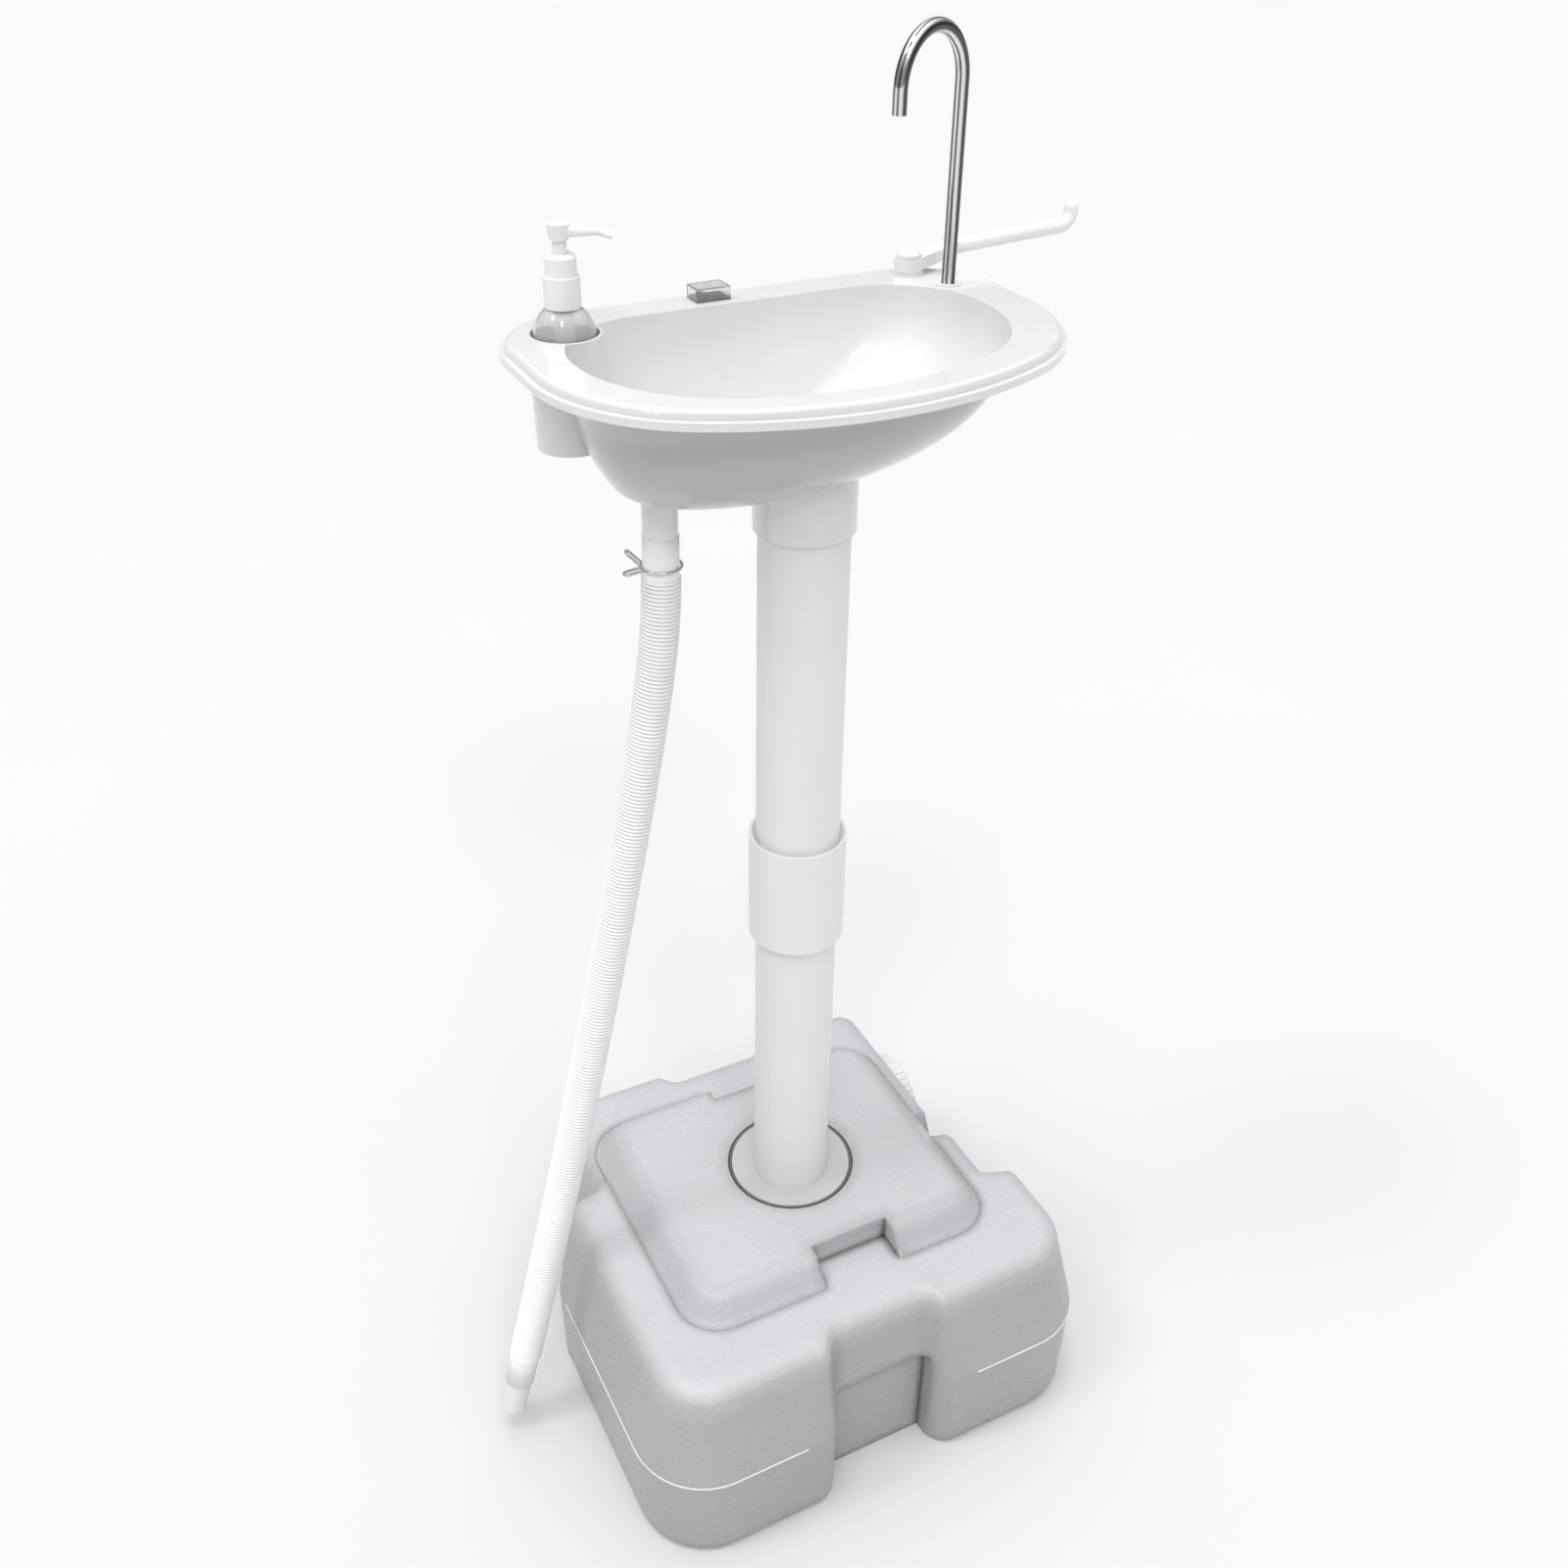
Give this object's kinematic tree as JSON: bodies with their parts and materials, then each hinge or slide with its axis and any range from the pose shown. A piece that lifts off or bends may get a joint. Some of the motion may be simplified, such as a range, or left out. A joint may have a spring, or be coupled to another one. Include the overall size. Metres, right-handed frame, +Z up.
{
  "type": "portable handwash station",
  "caption": "Free-standing handwash basin on a push-together column over a water tank, with pumped gooseneck spout, soap dispenser, towel arm and drain hose.",
  "frame": {"origin": "on the floor under the column's axis", "axes": "+Z up, the user stands at -Y, +X to the user's right along the basin's straight back"},
  "size_m": [0.5761, 0.384, 1.0892],
  "materials": {
    "tank_plastic": "grained, matt",
    "lid_plastic": "fine satin",
    "cap_plastic": "fluted, satin",
    "tube_plastic": "extruded, satin",
    "basin_plastic": "moulded, high gloss",
    "arm_plastic": "moulded, satin",
    "hose_plastic": "ribbed, satin",
    "outlet_plastic": "translucent",
    "soap_plastic": "moulded, satin",
    "clear_plastic": "clear",
    "boot_plastic": "clear, soft",
    "dip_plastic": "translucent",
    "dark_plastic": "matt black",
    "motor_steel": "drawn can",
    "spout_chrome": "polished",
    "wire_steel": "zinc plated",
    "seal_rubber": "matt",
    "riser_rubber": "satin",
    "lead_rubber": "satin"
  },
  "bodies": {
    "base": {"tank_shell": "tank_plastic", "tank_lid": "lid_plastic", "lid_seal": "seal_rubber", "lower_tube": "tube_plastic", "column_collar": "tube_plastic", "upper_tube": "tube_plastic", "pump_strainer": "dark_plastic", "pump_housing": "dark_plastic", "pump_motor": "motor_steel", "pump_cover": "dark_plastic", "riser_hose": "riser_rubber", "riser_clips": "wire_steel", "pump_lead": "lead_rubber", "battery_pack": "dark_plastic", "switch_lead": "lead_rubber", "hose_grommet": "seal_rubber", "lead_grommet": "seal_rubber", "basin": "basin_plastic", "drain_sieve": "wire_steel", "drain_hose": "hose_plastic", "hose_outlet": "outlet_plastic", "hose_clamp": "wire_steel", "faucet_bush": "arm_plastic", "faucet_nut": "arm_plastic", "faucet_seal": "seal_rubber", "towel_pivot": "arm_plastic", "towel_washer": "arm_plastic", "towel_nut": "arm_plastic", "switch_housing": "dark_plastic", "switch_boot": "boot_plastic"},
    "impeller": {"pump_impeller": "dark_plastic"},
    "filler": {"filler_cap": "cap_plastic", "filler_seal": "seal_rubber"},
    "spout": {"faucet_spout": "spout_chrome"},
    "arm": {"towel_arm": "arm_plastic"},
    "rocker": {"switch_rocker": "dark_plastic"},
    "soap": {"soap_bottle": "clear_plastic", "soap_cap": "soap_plastic", "pump_throat": "soap_plastic", "pump_barrel": "soap_plastic", "dip_tube": "dip_plastic", "pump_spring": "wire_steel"},
    "plunger": {"pump_stem": "soap_plastic"},
    "nozzle": {"pump_head": "soap_plastic"}
  },
  "joints": [
    {"name": "impeller_spin", "type": "hinge", "parent": "base", "child": "impeller", "pos_m": [0, 0, 0.03], "axis": [0, 0, 1], "continuous": true},
    {"name": "cap_turn", "type": "hinge", "parent": "base", "child": "filler", "pos_m": [0.185, 0.137, 0.07], "axis": [1, 0, 0], "range_deg": [0, 720]},
    {"name": "spout_swing", "type": "hinge", "parent": "base", "child": "spout", "pos_m": [0.15, 0.078, 0.918], "axis": [0, 0, 1], "range_deg": [-110, 110]},
    {"name": "arm_swing", "type": "hinge", "parent": "base", "child": "arm", "pos_m": [0.138, 0.112, 0.925], "axis": [0, 0, 1], "range_deg": [-40, 150]},
    {"name": "switch_tip", "type": "hinge", "parent": "base", "child": "rocker", "pos_m": [-0.014, 0.117, 0.918], "axis": [0, 1, 0], "range_deg": [-18, 0]},
    {"name": "soap_lift", "type": "slide", "parent": "base", "child": "soap", "axis": [0, 0, 1], "range_m": [0, 0.08]},
    {"name": "pump_press", "type": "slide", "parent": "soap", "child": "plunger", "axis": [0, 0, -1], "range_m": [0, 0.008], "stiffness_N_per_m": 500, "springref_m": -0.004, "deforming": ["pump_spring"]},
    {"name": "nozzle_turn", "type": "hinge", "parent": "plunger", "child": "nozzle", "pos_m": [-0.127, 0.088, 0.98], "axis": [0, 0, 1], "continuous": true}
  ]
}
